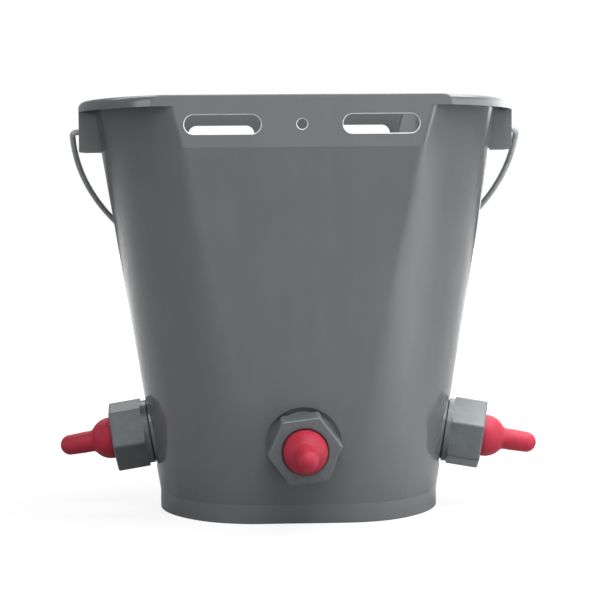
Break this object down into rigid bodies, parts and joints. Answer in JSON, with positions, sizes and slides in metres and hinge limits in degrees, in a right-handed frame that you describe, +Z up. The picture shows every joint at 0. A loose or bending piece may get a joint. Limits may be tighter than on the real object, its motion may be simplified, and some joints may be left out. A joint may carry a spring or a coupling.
{
  "type": "goat milk feeder bucket",
  "caption": "Flat-sided milk feeder bucket with rubber teats in hexagonal cap nuts, slotted hanging band, rim flange and a swinging wire bail.",
  "frame": {"origin": "middle of the foot, at the level it stands on", "axes": "+Z up, +Y towards the back, where the bail hangs at rest, -Y towards the middle teat, +X towards the right-hand teat"},
  "size_m": [0.3284, 0.2643, 0.2795],
  "materials": {
    "shell": "semi-gloss moulded dark grey polypropylene",
    "bail": "galvanised drawn steel wire, dull",
    "cap_nut": "satin moulded dark grey plastic",
    "teat": "soft matte red rubber",
    "gasket": "matte black rubber",
    "spigot": "satin moulded dark grey plastic",
    "valve_ball": "polished stainless steel",
    "valve_cage": "moulded natural white plastic"
  },
  "bodies": {
    "bucket": {"bucket_shell": "shell", "left_spigot": "spigot", "left_inner_gasket": "gasket", "left_outer_gasket": "gasket", "left_valve_cage": "valve_cage", "left_cap_nut": "cap_nut", "left_teat": "teat", "front_spigot": "spigot", "front_inner_gasket": "gasket", "front_outer_gasket": "gasket", "front_valve_cage": "valve_cage", "front_cap_nut": "cap_nut", "front_teat": "teat", "right_spigot": "spigot", "right_inner_gasket": "gasket", "right_outer_gasket": "gasket", "right_valve_cage": "valve_cage", "right_cap_nut": "cap_nut", "right_teat": "teat"},
    "bail": {"bail_handle": "bail"},
    "left_ball": {"left_valve_ball": "valve_ball"},
    "front_ball": {"front_valve_ball": "valve_ball"},
    "right_ball": {"right_valve_ball": "valve_ball"}
  },
  "joints": [
    {"name": "bail_swing", "type": "hinge", "parent": "bucket", "child": "bail", "pos_m": [0, 0, 0.2595], "axis": [1, 0, 0], "range_deg": [0, 269.72]},
    {"name": "left_ball_slide", "type": "slide", "parent": "bucket", "child": "left_ball", "axis": [-0.9871, 0, -0.1602], "range_m": [-0.0028, 0]},
    {"name": "front_ball_slide", "type": "slide", "parent": "bucket", "child": "front_ball", "axis": [0, -0.9986, -0.0523], "range_m": [-0.0028, 0]},
    {"name": "right_ball_slide", "type": "slide", "parent": "bucket", "child": "right_ball", "axis": [0.9797, -0.1203, -0.1602], "range_m": [-0.0028, 0]}
  ]
}
